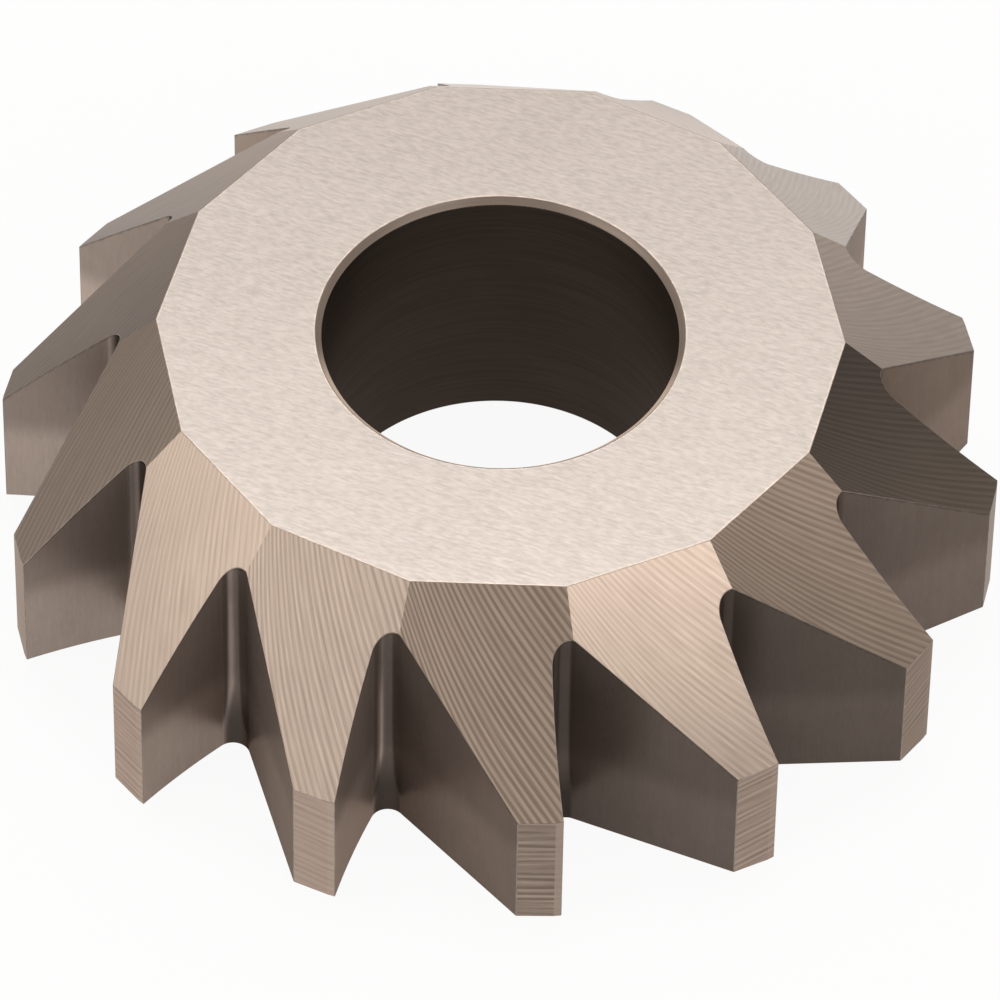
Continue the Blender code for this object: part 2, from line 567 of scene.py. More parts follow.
    def _shade(self, mesh: bpy.types.Mesh) -> None:
        """Shade each flat surface flat and each round one smooth, with the edges between them soft.

        Args:
            mesh: The ring's final mesh.
        """
        sums: dict[int, dict[tuple[str, int], Vector]] = {}
        for face in mesh.polygons:
            stretch = self._stretch_of(face)
            for vertex in face.vertices:
                at_vertex = sums.setdefault(vertex, {})
                at_vertex[stretch] = at_vertex.get(stretch, Vector()) + face.normal
        normals = [Vector((0.0, 0.0, 1.0))] * len(mesh.loops)
        for face in mesh.polygons:
            own = self._stretch_of(face)
            for loop in face.loop_indices:
                at_vertex = sums[mesh.loops[loop].vertex_index]
                ground = [stretch for stretch in at_vertex if stretch[0] != Surface.EDGE.name]
                lone = own[0] == Surface.EDGE.name and len(ground) == 1
                normals[loop] = at_vertex[ground[0] if lone else own].normalized()
        mesh.normals_split_custom_set(normals)

    def _stretch_of(self, face: bpy.types.MeshPolygon) -> tuple[str, int]:
        """Name the smooth stretch that a face belongs to, by its surface and its tooth.

        Args:
            face: The face.

        Returns:
            The surface's name, and the tooth's number where each tooth has its own stretch.
        """
        surface = Surface(face.material_index)
        if surface in (Surface.FACET, Surface.LAND):
            return surface.name, self._tooth_of(face.center, face.normal, surface)
        if surface is Surface.BACK and face.normal.z > -self.flat_rise:
            return Surface.EDGE.name, 0
        return surface.name, 0

    def _lay_out(self, mesh: bpy.types.Mesh) -> None:
        """Write each corner's own place in millimetres, its painted tone and its mark depth.

        Args:
            mesh: The ring's final mesh.
        """
        normals = [corner.vector.copy() for corner in mesh.corner_normals]
        mesh.uv_layers.new(name=FINISH_MAP)
        names = (FACE_TONE, MARK_DEPTH, FACE_WARMTH, WALL_LEAN, ROOT_GLEAM)
        for name in names:
            mesh.attributes.new(name, "FLOAT", "CORNER")
        place = mesh.uv_layers[FINISH_MAP]
        tone, depth, warmth, leans, gleam = (mesh.attributes[name].data for name in names)
        for face in mesh.polygons:
            surface = Surface(face.material_index)
            index = self._tooth_of(face.center, face.normal, surface)
            grind = self.grinds[index]
            turn = Matrix.Rotation(-self.first_azimuth - index * self.tooth.pitch, 3, "Z")
            for loop in face.loop_indices:
                corner = turn @ mesh.vertices[mesh.loops[loop].vertex_index].co
                normal = turn @ (face.normal if surface is Surface.EDGE else normals[loop])
                own = self._own_place(corner, surface, grind) / MILLIMETRE
                lean = -corner.xy.angle_signed(normal.xy, 0.0)
                place.uv[loop].vector = own
                tone[loop].value = self._tone(own, lean, normal.z, surface, grind)
                depth[loop].value = grind.bands if surface is Surface.LAND else grind.lines
                warmth[loop].value = grind.warmth
                leans[loop].value = lean
                gleam[loop].value = grind.gleam

    def _tone(
        self, own: Vector, lean: float, rise: float, surface: Surface, grind: ToothGrind
    ) -> float:
        """Painted light and shade of a surface at one corner, against the finish's own colour.

        Args:
            own: Where the corner lies on its surface, in millimetres.
            lean: The surface's turn away from facing straight out, counterclockwise.
            rise: How far it looks up, from 0 to 1.
            surface: The kind of surface.
            grind: How the tooth was ground.

        Returns:
            The painted brightness. It falls round a gullet's root, from rake face to back, and a
            bore's chamfer gets a painted highlight on its near side.
        """
        # Painted reflection on a facet, set tooth by tooth and shaded across the facet.
        if surface is Surface.FACET:
            down = own.x - self.facet_middle / MILLIMETRE
            return grind.facet * (1 + grind.fade * down + grind.drift * own.y)
        # Painted reflection on a tip land.
        if surface is Surface.LAND:
            return grind.land
        # Painted light and shade on a gullet wall, from the back's tone round the root to the rake
        # face's.
        if surface is Surface.WALL:
            return grind.back + (grind.rake - grind.back) * smooth(lean, *self.root_span)
        # A painted highlight on the near side of a rim's chamfer.
        if surface is Surface.CHAMFER:
            return 1.0 + self.near_rim_tone * smooth(own.x / own.length, *self.near_rim_span)
        # Painted light and shade on a broken edge, by how it lies and which side of the ring it is
        # on.
        if surface is Surface.EDGE:
            return self.edges.tone(-own.x / own.length, lean, rise)
        return 1.0

    def _tooth_of(self, centre: Vector, normal: Vector, surface: Surface) -> int:
        """Count counterclockwise from the first tooth to the one that a face belongs to.

        A gullet's walls all belong to the tooth behind the gullet, and what isn't part of one
        tooth goes with the first.

        Args:
            centre: The middle of the face.
            normal: The face's normal.
            surface: The kind of surface.

        Returns:
            The tooth's number.
        """
        if surface is Surface.FACET:
            azimuth = math.atan2(normal.y, normal.x)
        elif surface is Surface.LAND:
            azimuth = math.atan2(centre.y, centre.x) - self.tooth.lead_angle
        elif surface is Surface.WALL:
            azimuth = math.atan2(centre.y, centre.x) - self.tooth.gullet_angle
        else:
            return 0
        return round((azimuth - self.first_azimuth) / self.tooth.pitch) % self.tooth.count

    def _own_place(self, corner: Vector, surface: Surface, grind: ToothGrind) -> Vector:
        """Where a corner lies on its own surface.

        Args:
            corner: The corner, turned so that its tooth's facet looks along +X.
            surface: The kind of surface.
            grind: How the tooth was ground.

        Returns:
            Down the slope and across on a facet, round the ring and up its bands on a tip land,
            and out from the axis and down from the facet's edge on a gullet wall.
        """
        radius = math.hypot(corner.x, corner.y)
        azimuth = math.atan2(corner.y, corner.x)
        if surface is Surface.FACET:
            down = (corner.x - self.front_across_flats / 2) / math.sin(self.seat_angle)
            return Vector((down, corner.y))
        if surface is Surface.LAND:
            ahead = self.tooth.cut_radius * (azimuth - self.tooth.trail_angle)
            return Vector((ahead, corner.z - self.low - grind.slant * ahead))
        if surface is Surface.WALL:
            half = self.tooth.pitch / 2
            sweep = (azimuth + half) % self.tooth.pitch - half
            out = radius * math.cos(sweep) - self.front_across_flats / 2
            top = self.high - max(out, 0.0) / math.tan(self.seat_angle)
            return Vector((radius, top - corner.z))
        return Vector((corner.x, corner.y))


# Shader nodes


class Sheet:
    """A node tree that is being filled in."""

    def __init__(self, tree: bpy.types.NodeTree) -> None:
        """Start on the node tree of a material or a group."""
        self.tree = tree

    def add(self, kind: str, **settings: object) -> bpy.types.Node:
        """Add a node.

        Args:
            kind: Blender's name for the node.
            **settings: Properties to set on it.

        Returns:
            The node.
        """
        node = self.tree.nodes.new(kind)
        for name, value in settings.items():
            setattr(node, name, value)
        return node

    def feed(self, socket: Socket, value: object) -> None:
        """Join an input to another node's output, or set its value.

        Args:
            socket: The input.
            value: An output, or a plain value.
        """
        if isinstance(value, Socket):
            self.tree.links.new(value, socket)
        else:
            socket.default_value = value

    def feed_named(self, inputs: bpy.types.NodeInputs, values: dict[str, object]) -> None:
        """Feed a node's inputs by their names."""
        for name, value in values.items():
            self.feed(inputs[name], value)

    def worked(self, kind: str, values: tuple[object, ...], **settings: object) -> Socket:
        """Add a node and feed its inputs in order.

        Args:
            kind: Blender's name for the node.
            values: Its inputs, sockets or numbers.
            **settings: Properties to set on it.

        Returns:
            Its first output.
        """
        node = self.add(kind, **settings)
        for socket, value in zip(node.inputs, values):
            self.feed(socket, value)
        return node.outputs[0]

    def math(self, operation: str, *values: object) -> Socket:
        """Return what a Math node makes of sockets or numbers."""
        return self.worked("ShaderNodeMath", values, operation=operation)

    def times(self, first: object, *others: object) -> Socket:
        """Multiply sockets or numbers.

        Args:
            first: The first factor.
            *others: The other factors.

        Returns:
            The product.
        """
        product = first
        for other in others:
            product = self.math("MULTIPLY", product, other)
        return product

    def times_plus(self, value: object, factor: object, rest: object) -> Socket:
        """Return the value times the factor, plus the rest."""
        return self.math("MULTIPLY_ADD", value, factor, rest)

    def centred(self, value: object) -> Socket:
        """Bring a value that is about 0.5 on average to about 0."""
        return self.math("SUBTRACT", value, 0.5)

    def vector(self, x: object, y: object, z: object = 0.0) -> Socket:
        """Join three sockets or numbers into a vector."""
        return self.worked("ShaderNodeCombineXYZ", (x, y, z))

    def stretched(self, x: object, y: object, rates: Pair, z: object = 0.0) -> Socket:
        """Join a vector whose first two parts change at rates of their own."""
        return self.vector(self.times(x, rates[0]), self.times(y, rates[1]), z)

    def parts(self, vector: Socket) -> tuple[Socket, ...]:
        """Take a vector apart.

        Args:
            vector: The vector.

        Returns:
            Its three parts.
        """
        node = self.add("ShaderNodeSeparateXYZ")
        self.feed(node.inputs[0], vector)
        return tuple(node.outputs)

    def noise(
        self, place: Socket, scale: object = 1.0, *, detail: float, roughness: float = 0.5
    ) -> Socket:
        """Add a noise texture.

        Args:
            place: Where to read it.
            scale: Repeats for each unit of place.
            detail: Octaves.
            roughness: Weight of the fine octaves.

        Returns:
            Its value, about 0.5 on average.
        """
        node = self.add("ShaderNodeTexNoise", noise_dimensions="3D", normalize=True)
        values = {"Vector": place, "Scale": scale, "Detail": detail, "Roughness": roughness}
        self.feed_named(node.inputs, values)
        return node.outputs["Fac"]

    def ramp(
        self, value: object, start: object, end: object, low: object = 0.0, high: object = 1.0
    ) -> Socket:
        """Climb or fall smoothly from low at the start to high at the end, and stay there."""
        smoothly = {"interpolation_type": "SMOOTHSTEP", "clamp": True}
        return self.worked("ShaderNodeMapRange", (value, start, end, low, high), **smoothly)

    def millimetres(self) -> Socket:
        """Read the place on the object.

        Returns:
            The place, in millimetres.
        """
        place = self.add("ShaderNodeTexCoord").outputs["Object"]
        scale = self.add("ShaderNodeVectorMath", operation="SCALE")
        self.feed_named(scale.inputs, {"Vector": place, "Scale": 1 / MILLIMETRE})
        return scale.outputs[0]

    def finish_place(self) -> Socket:
        """Return the place on the surface's own layout, in millimetres."""
        return self.add("ShaderNodeUVMap", uv_map=FINISH_MAP).outputs["UV"]

    def written(self, name: str) -> Socket:
        """Return a number that is written on the mesh."""
        node = self.add("ShaderNodeAttribute", attribute_type="GEOMETRY", attribute_name=name)
        return node.outputs["Fac"]


class PortKind(Enum):
    """What goes through a port of a shader group."""

    NUMBER = "NodeSocketFloat"
    PLACE = "NodeSocketVector"


@dataclass(frozen=True)
class Port:
    """A named input or output of a shader group."""

    name: str
    kind: PortKind = PortKind.NUMBER


class Effect:
    """A surface effect that several finishes use, kept as one shader node group."""

    name: str = ""
    inputs: tuple[Port, ...] = ()
    outputs: tuple[Port, ...] = ()

    def __init__(self) -> None:
        """Make the group, once."""
        self.group = bpy.data.node_groups.new(self.name, "ShaderNodeTree")
        for side, ports in (("INPUT", self.inputs), ("OUTPUT", self.outputs)):
            for port in ports:
                self.group.interface.new_socket(
                    port.name, in_out=side, socket_type=port.kind.value
                )
        sheet = Sheet(self.group)
        start = sheet.add("NodeGroupInput")
        end = sheet.add("NodeGroupOutput")
        sheet.feed_named(end.inputs, self.draw(sheet, start.outputs))

    def draw(self, sheet: Sheet, given: bpy.types.NodeOutputs) -> dict[str, Socket]:
        """Draw the group's nodes from its inputs, and return what feeds each output."""
        raise NotImplementedError

    def use(self, sheet: Sheet, **values: object) -> bpy.types.NodeOutputs:
        """Place the effect in a material.

        Args:
            sheet: The material's sheet.
            **values: What goes into its inputs.

        Returns:
            Its outputs.
        """
        node = sheet.add("ShaderNodeGroup", node_tree=self.group)
        sheet.feed_named(node.inputs, values)
        return node.outputs


class GroundLines(Effect):
    """Lines that a grinding wheel leaves side by side, each a little deeper or shallower.

    Attributes:
        drift_rate: How fast the lines drift, along and across, for each millimetre.
        depth_rate: How fast their depth changes, along for each millimetre and from line to line.
        streak_rate: How fast the fine streaks between them change, likewise.
        depth_layer: Where the noise for the depth is read.
        streak_layer: Where the noise for the streaks is read.
        depth_span: The stretch of that noise over which a line gets its full depth.
        height_shares: How much the lines and the streaks show in the height.
        streak_shares: How much they show in the colour.
    """

    name = "ground_lines"
    inputs = (Port("Across"), Port("Along"), Port("Pitch"), Port("Wander"), Port("Breakup"))
    outputs = (Port("Height"), Port("Streak"))
    drift_rate: Pair = (0.05, 0.45)
    depth_rate: Pair = (0.12, 0.8)
    streak_rate: Pair = (0.3, 3.2)
    depth_layer: float = 3.7
    streak_layer: float = 8.1
    depth_span: Pair = (0.34, 0.66)
    height_shares: Pair = (0.36, 0.5)
    streak_shares: Pair = (0.39, 1.05)

    def draw(self, sheet: Sheet, given: bpy.types.NodeOutputs) -> dict[str, Socket]:
        """Draw a wave across the lines and finer streaks between them.

        Args:
            sheet: The group's sheet.
            given: The group's inputs.

        Returns:
            Height and Streak, both about 0.5 on average.
        """
        across, along = given["Across"], given["Along"]
        slow = sheet.stretched(along, across, self.drift_rate)
        drift = sheet.centred(sheet.noise(slow, detail=2.0))
        placed = sheet.times_plus(drift, given["Wander"], across)
        turns = sheet.math("DIVIDE", placed, given["Pitch"])
        wave = sheet.math("SINE", sheet.times(turns, 2 * math.pi))

        line = sheet.stretched(along, turns, self.depth_rate, self.depth_layer)
        least = sheet.math("SUBTRACT", 1.0, given["Breakup"])
        depth = sheet.ramp(sheet.noise(line, detail=1.0), *self.depth_span, least, 1.0)
        ridges = sheet.times(wave, depth)

        narrow = sheet.stretched(along, turns, self.streak_rate, self.streak_layer)
        streaks = sheet.centred(sheet.noise(narrow, detail=2.0))
        height, streak = (
            sheet.times_plus(ridges, line_share, sheet.times_plus(streaks, streak_share, 0.5))
            for line_share, streak_share in (self.height_shares, self.streak_shares)
        )
        return {"Height": height, "Streak": streak}


class FineGrain(Effect):
    """Short fine scratches, all the same way.

    Attributes:
        span: The stretch of the noise that goes from dark to light.
    """

    name = "fine_grain"
    inputs = (Port("Place", PortKind.PLACE), Port("Length"), Port("Width"))
    outputs = (Port("Grain"),)
    span: Pair = (0.28, 0.72)

    def draw(self, sheet: Sheet, given: bpy.types.NodeOutputs) -> dict[str, Socket]:
        """Stretch a noise along its first axis.

        Args:
            sheet: The group's sheet.
            given: The group's inputs.

        Returns:
            Grain, from 0 to 1.
        """
        sizes = (given["Length"], given["Width"], given["Width"])
        parts = zip(sheet.parts(given["Place"]), sizes)
        place = sheet.vector(*(sheet.math("DIVIDE", part, size) for part, size in parts))
        return {"Grain": sheet.ramp(sheet.noise(place, detail=3.0, roughness=0.6), *self.span)}


class SoftMottle(Effect):
    """Cloudy patches of tone, as handling and oil leave on bare steel.

    Attributes:
        reach: How far the clouds swing for each unit of their amount.
    """

    name = "soft_mottle"
    inputs = (Port("Place", PortKind.PLACE), Port("Size"), Port("Amount"))
    outputs = (Port("Shade"),)
    reach: float = 4.0

    def draw(self, sheet: Sheet, given: bpy.types.NodeOutputs) -> dict[str, Socket]:
        """Swing a soft noise round one.

        Args:
            sheet: The group's sheet.
            given: The group's inputs.

        Returns:
            Shade, about 1 on average.
        """
        scale = sheet.math("DIVIDE", 1.0, given["Size"])
        cloud = sheet.noise(given["Place"], scale, detail=3.0, roughness=0.55)
        swing = sheet.times(sheet.centred(cloud), self.reach)
        return {"Shade": sheet.times_plus(swing, given["Amount"], 1.0)}


class PaintedEdgeBand(Effect):
    """A strip along an edge, uneven in width, for painted highlights and painted shadow lines.

    Attributes:
        scale: Repeats of the unevenness for each millimetre.
        raggedness: How much the width changes, against the width itself.
    """

    name = "painted_rim_shading"
    inputs = (Port("Distance"), Port("Place", PortKind.PLACE), Port("Width"))
    outputs = (Port("Mask"),)
    scale: float = 3.0
    raggedness: float = 1.6

    def draw(self, sheet: Sheet, given: bpy.types.NodeOutputs) -> dict[str, Socket]:
        """Fade from the edge inwards, with a ragged end.

        Args:
            sheet: The group's sheet.
            given: The group's inputs.

        Returns:
            Mask, 1 at the edge and 0 beyond the strip.
        """
        uneven = sheet.centred(sheet.noise(given["Place"], self.scale, detail=2.0))
        ragged = sheet.times(uneven, self.raggedness)
        distance = sheet.times_plus(ragged, given["Width"], given["Distance"])
        return {"Mask": sheet.ramp(distance, 0.0, given["Width"], 1.0, 0.0)}


@dataclass(frozen=True)
class Effects:
    """The effects that the finishes share, each made once.

    Attributes:
        lines: Ground lines side by side.
        grain: Fine scratches.
        mottle: Soft clouds of tone.
        wear: Ragged strips along edges, for painted highlights and painted shadow lines.
    """

    lines: GroundLines
    grain: FineGrain
    mottle: SoftMottle
    wear: PaintedEdgeBand

    @classmethod
    def make(cls) -> "Effects":
        """Make every group."""
        return cls(GroundLines(), FineGrain(), SoftMottle(), PaintedEdgeBand())


@dataclass(frozen=True)
class Pattern:
    """What a finish draws before it is shaded.

    Attributes:
        blend: From the dark colour to the light one, 0 to 1.
        shade: Brightness, about 1.
        height: Height of the surface's marks, 0 to 1.
        sheen: From rough to smooth, about 0.5.
        warmth: How far the colour leans from blue to red, where it does.
    """

    blend: Socket
    shade: Socket
    height: Socket
    sheen: Socket
    warmth: Socket | None = None


@dataclass(frozen=True)
class SteelFinish:
    """What all the cutter's finishes have in common.

    Attributes:
        name: The material's name.
        light: Colour of the high and worn places.
        dark: Colour of the low places.
        roughness: Mean roughness.
        mark_depth: Depth of the marks, in metres.
        spread: How far the roughness swings each way.
        metallic: How metallic the surface is.
        specular: Strength of the gloss that isn't metallic.
        edge_tint: Colour of reflections at a grazing angle.
        cloud_size: Width of the soft clouds of tone, in millimetres.
        clouds: How strongly they swing.
    """

    name: str
    light: Colour
    dark: Colour
    roughness: float
    mark_depth: float
    spread: float = 0.06
    metallic: float = 1.0
    specular: float = 0.5
    edge_tint: Colour = (1.0, 1.0, 1.0)
    cloud_size: float = 2.5
    clouds: float = 0.05

    def draw(self, sheet: Sheet, effects: Effects) -> Pattern:
        """Draw the finish's pattern with the shared effects."""
        raise NotImplementedError

    def grain(self, sheet: Sheet, effects: Effects, place: Socket, size: Pair) -> Socket:
        """Draw scratches of one length and width, in millimetres, from 0 to 1."""
        length, width = size
        return effects.grain.use(sheet, Place=place, Length=length, Width=width)["Grain"]

    def cloud(self, sheet: Sheet, effects: Effects) -> Socket:
        """Draw the soft clouds of tone.

        Args:
            sheet: The material's sheet.
            effects: The shared effects.

        Returns:
            The clouds, about 1 on average.
        """
        place = sheet.millimetres()
        drawn = effects.mottle.use(sheet, Place=place, Size=self.cloud_size, Amount=self.clouds)
        return drawn["Shade"]

    def toned(self, sheet: Sheet, effects: Effects) -> Socket:
        """Lay the clouds over the painted light and shade that is written on the mesh."""
        return sheet.times(self.cloud(sheet, effects), sheet.written(FACE_TONE))

    def material(self, effects: Effects) -> bpy.types.Material:
        """Make the material.

        Args:
            effects: The shared effects.

        Returns:
            The material, with its pattern in colour, roughness and relief.
        """
        material, sheet, shader = new_material(self.name)
        pattern = self.draw(sheet, effects)
        relief = sheet.add("ShaderNodeBump")
        marks = {"Strength": 1.0, "Distance": self.mark_depth, "Height": pattern.height}
        sheet.feed_named(relief.inputs, marks)
        rough_to_smooth = (self.roughness + self.spread, self.roughness - self.spread)
        values = {
            "Metallic": self.metallic,
            "Specular IOR Level": self.specular,
            "Specular Tint": (*self.edge_tint, 1.0),
            "Base Color": self._colour(sheet, pattern),
            "Roughness": sheet.ramp(pattern.sheen, 0.0, 1.0, *rough_to_smooth),
            "Normal": relief.outputs["Normal"],
        }
        sheet.feed_named(shader.inputs, values)
        return material

    def _colour(self, sheet: Sheet, pattern: Pattern) -> Socket:
        """Mix the finish's two colours, and shade and warm the mix.

        Args:
            sheet: The material's sheet.
            pattern: What the finish draws.

        Returns:
            The colour.
        """
        mix = sheet.add("ShaderNodeMix", data_type="RGBA", blend_type="MIX", clamp_factor=True)
        sheet.feed(mix.inputs["Factor"], pattern.blend)
        mix.inputs["A"].default_value = (*self.dark, 1.0)
        mix.inputs["B"].default_value = (*self.light, 1.0)
        shaded = sheet.add("ShaderNodeVectorMath", operation="SCALE")
        sheet.feed_named(shaded.inputs, {"Vector": mix.outputs["Result"], "Scale": pattern.shade})
        if pattern.warmth is None:
            return shaded.outputs[0]
        red = sheet.math("ADD", 1.0, pattern.warmth)
        blue = sheet.math("SUBTRACT", 1.0, pattern.warmth)
        tints = (shaded.outputs[0], sheet.vector(red, 1.0, blue))
        return sheet.worked("ShaderNodeVectorMath", tints, operation="MULTIPLY")


@dataclass(frozen=True)
class ScratchedFinish(SteelFinish):
    """A surface with fine scratches over broader ones, all the same way.

    Attributes:
        fine: Length and width of the fine scratches, in millimetres.
        broad: Length and width of the broader ones.
        fine_share: Share of the fine ones.
    """

    fine: Pair = (0.45, 0.12)
    broad: Pair = (0.8, 0.2)
    fine_share: float = 0.7

    def scratches(self, sheet: Sheet, effects: Effects, place: Socket) -> tuple[Socket, Socket]:
        """Draw the scratches of both sizes.

        Args:
            sheet: The material's sheet.
            effects: The shared effects.
            place: Where to read them, along first, then across.

        Returns:
            Both together, and the broader ones alone, from 0 to 1.
        """
        fine = self.grain(sheet, effects, place, self.fine)
        broad = self.grain(sheet, effects, place, self.broad)
        rest = sheet.times(broad, 1 - self.fine_share)
        return sheet.times_plus(fine, self.fine_share, rest), broad


@dataclass(frozen=True)
class FaceFinish(ScratchedFinish):
    """A flat face: short fine streaks that all lie one way, clouds, and a painted highlight along
    the bore rim.

    Attributes:
        lie: The way the streaks lie, from +X.
        rim_radius: Where the face meets the bore's chamfer, in millimetres.
        painted_rim_shading: Width of the strip of painted highlight, in millimetres.
        rim_gain: How much brighter that painted highlight is.
    """

    cloud_size: float = 4.0
    clouds: float = 0.02
    lie: float = math.radians(-18.5)
    rim_radius: float = (BORE_DIAMETER / 2 + RIM_CHAMFER) / MILLIMETRE
    painted_rim_shading: float = 0.09
    rim_gain: float = 0.28

    def rim_distance(self, sheet: Sheet, place: Socket) -> Socket:
        """Measure how far a place is from the nearest edge of the face.

        Args:
            sheet: The material's sheet.
            place: The place, in millimetres.

        Returns:
            The distance, in millimetres.
        """
        x, y, _ = sheet.parts(place)
        radius = sheet.math("SQRT", sheet.times_plus(x, x, sheet.times(y, y)))
        return sheet.math("SUBTRACT", radius, self.rim_radius)

    def draw(self, sheet: Sheet, effects: Effects) -> Pattern:
        """Draw fine and broad streaks under soft clouds, and paint a highlight along the edges.

        Args:
            sheet: The material's sheet.
            effects: The shared effects.

        Returns:
            The pattern.
        """
        place = sheet.millimetres()
        turned = sheet.add("ShaderNodeVectorRotate", rotation_type="Z_AXIS")
        sheet.feed(turned.inputs["Vector"], place)
        turned.inputs["Angle"].default_value = -self.lie
        both, broad = self.scratches(sheet, effects, turned.outputs[0])
        distance = self.rim_distance(sheet, place)
        # A painted highlight along the bore rim and, on the front, along the polygon's sides.
        rim_highlight = effects.wear.use(sheet, Distance=distance, Place=place, Width=self.painted_rim_shading)["Mask"]
        shade = sheet.times_plus(rim_highlight, self.rim_gain, self.cloud(sheet, effects))
        return Pattern(both, shade, both, broad)


@dataclass(frozen=True)
class FrontFinish(FaceFinish):
    """The front face, with the painted highlight along the sides of its polygon too.

    Attributes:
        sides: How many sides the polygon has.
        across_flats: Side to opposite side, in millimetres.
    """

    sides: int = TEETH
    across_flats: float = FRONT_ACROSS_FLATS / MILLIMETRE

    def rim_distance(self, sheet: Sheet, place: Socket) -> Socket:
        """Measure how far a place is from the bore's rim or the polygon, whichever is nearer.

        Args:
            sheet: The material's sheet.
            place: The place, in millimetres.

        Returns:
            The distance, in millimetres.
        """
        x, y, _ = sheet.parts(place)
        from_bore = super().rim_distance(sheet, place)
        radius = sheet.math("ADD", from_bore, self.rim_radius)
        half = math.pi / self.sides
        azimuth = sheet.math("ARCTAN2", x, y)
        folded = sheet.math("WRAP", azimuth, half, -half)
        reach = sheet.times(radius, sheet.math("COSINE", folded))
        from_side = sheet.math("SUBTRACT", self.across_flats / 2, reach)
        return sheet.math("MINIMUM", from_bore, from_side)


@dataclass(frozen=True)
class LinedFinish(SteelFinish):
    """A surface with ground lines side by side, which differ from tooth to tooth.

    Attributes:
        pitch: From line to line, in millimetres.
        wander: How far the lines drift, in millimetres.
        breakup: How far a line fades in places.
        tooth_step: How far apart two teeth read the lines, for each unit of mark depth.
        scratch: Length and width of the fine scratches, in millimetres.
        scratch_share: How much the scratches show in the colour.
        base_share: Where the colour lies from dark to light without lines and scratches.
        line_share: How much the lines show in the colour.
    """

    clouds: float = 0.03
    pitch: float = 0.25
    wander: float = 0.2
    breakup: float = 0.35
    tooth_step: float = 370.0
    scratch: Pair = (2.0, 0.05)
    scratch_share: float = 0.2
    base_share: float = 0.4
    line_share: float = 1.5

    def lines(
        self, sheet: Sheet, effects: Effects, across: Socket, along: Socket
    ) -> tuple[Socket, Socket, Socket]:
        """Draw the lines, at the depth that is written on the mesh.

        Args:
            sheet: The material's sheet.
            effects: The shared effects.
            across: The place across the lines, in millimetres.
            along: The place along them.

        Returns:
            The lines in the colour, about 0, their height, and the fine scratches.
        """
        depth = sheet.written(MARK_DEPTH)
        shifted = sheet.times_plus(depth, self.tooth_step, across)
        lines = effects.lines.use(
            sheet,
            Across=shifted,
            Along=along,
            Pitch=self.pitch,
            Wander=self.wander,
            Breakup=self.breakup,
        )
        fine = self.grain(sheet, effects, sheet.vector(along, shifted), self.scratch)
        swing = sheet.times(sheet.centred(lines["Streak"]), depth)
        return swing, sheet.times(lines["Height"], depth), fine

    def blend(self, sheet: Sheet, swing: Socket, fine: Socket) -> Socket:
        """Mix the colour, from dark to light, of lines about 0 and scratches from 0 to 1."""
        ground = sheet.times_plus(fine, self.scratch_share, self.base_share)
        return sheet.times_plus(swing, self.line_share, ground)


@dataclass(frozen=True)
class FacetFinish(LinedFinish):
    """The seat facets: coarse curved grinding lines.

    Attributes:
        line_angle: The lines' angle off the slope at the facet's middle.
        cotangent: The cotangent of that angle as a series in the distance across, in millimetres.
    """

    line_angle: float = math.radians(32.0)
    cotangent: tuple[float, float, float] = (1.60, -0.235, 0.045)

    def draw(self, sheet: Sheet, effects: Effects) -> Pattern:
        """Draw the curved lines, with each facet's painted tone and its own depth.

        Args:
            sheet: The material's sheet.
            effects: The shared effects.

        Returns:
            The pattern.
        """
        down, across, _ = sheet.parts(sheet.finish_place())
        first, second, third = self.cotangent
        cubic = sheet.times_plus(across, third / 3, second / 2)
        bend = sheet.times(sheet.times_plus(cubic, across, first), across)
        sine = math.sin(self.line_angle)
        over = sheet.times(sheet.math("SUBTRACT", down, bend), sine)
        along = sheet.times_plus(down, math.cos(self.line_angle), sheet.times(across, sine))
        swing, height, fine = self.lines(sheet, effects, over, along)
        blend = self.blend(sheet, swing, fine)
        return Pattern(
            blend, self.toned(sheet, effects), height, fine, sheet.written(FACE_WARMTH)
        )


@dataclass(frozen=True)
class LandFinish(LinedFinish):
    """A tip land: bands round the ring, and a smooth bright margin behind the cutting edge.

    Attributes:
        land_width: The whole land's width, in millimetres.
        margin_width: The margin's width, in millimetres.
        margin_blur: Half width of the margin's border, in millimetres.
        margin_gain: How much lighter the margin is.
        deep_span: Depths of the bands over which the margin goes from faint to clear.
        faint_margin: How clear it is where the bands are shallow.
    """

    cloud_size: float = 1.5
    pitch: float = 0.36
    wander: float = 1.0
    breakup: float = 0.9
    tooth_step: float = 23.0
    scratch: Pair = (0.6, 0.07)
    scratch_share: float = 0.15
    base_share: float = 0.35
    line_share: float = 1.35
    land_width: float = LAND_WIDTH / MILLIMETRE
    margin_width: float = MARGIN_WIDTH / MILLIMETRE
    margin_blur: float = 0.02
    margin_gain: float = 0.4
    deep_span: Pair = (0.5, 1.0)
    faint_margin: float = 0.15

    def draw(self, sheet: Sheet, effects: Effects) -> Pattern:
        """Draw the bands up to the margin.

        Args:
            sheet: The material's sheet.
            effects: The shared effects.

        Returns:
            The pattern.
        """
        ahead, height, _ = sheet.parts(sheet.finish_place())
        start = self.land_width - self.margin_width
        border = sheet.ramp(ahead, start - self.margin_blur, start + self.margin_blur)
        bare = sheet.ramp(sheet.written(MARK_DEPTH), *self.deep_span, self.faint_margin, 1.0)
        margin = sheet.times(border, bare)
        plain = sheet.math("SUBTRACT", 1.0, margin)
        swing, relief, fine = self.lines(sheet, effects, height, ahead)
        banded = self.blend(sheet, sheet.times(swing, plain), fine)
        blend = sheet.times_plus(margin, self.margin_gain, banded)
        return Pattern(blend, self.toned(sheet, effects), sheet.times(relief, plain), margin)


